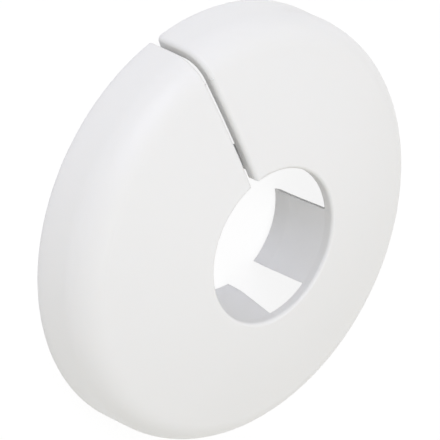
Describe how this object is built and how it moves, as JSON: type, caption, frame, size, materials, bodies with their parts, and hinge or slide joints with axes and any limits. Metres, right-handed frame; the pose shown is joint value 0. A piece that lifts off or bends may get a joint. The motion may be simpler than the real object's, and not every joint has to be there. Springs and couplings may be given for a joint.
{
  "type": "split pipe rosette",
  "caption": "Round domed cover ring, slit on one side, with spring tongues round its bore that grip a pipe and a hollow back that sits on the wall.",
  "frame": {"origin": "centre of the back rim, in the plane that sits on the wall", "axes": "+Z along the bore, away from the wall; +Y from the bore to the slit"},
  "size_m": [0.065, 0.065, 0.0117],
  "materials": {
    "white_plastic": "moulded white polypropylene with a soft sheen"
  },
  "bodies": {
    "root": {"rosette": "white_plastic"}
  },
  "joints": []
}
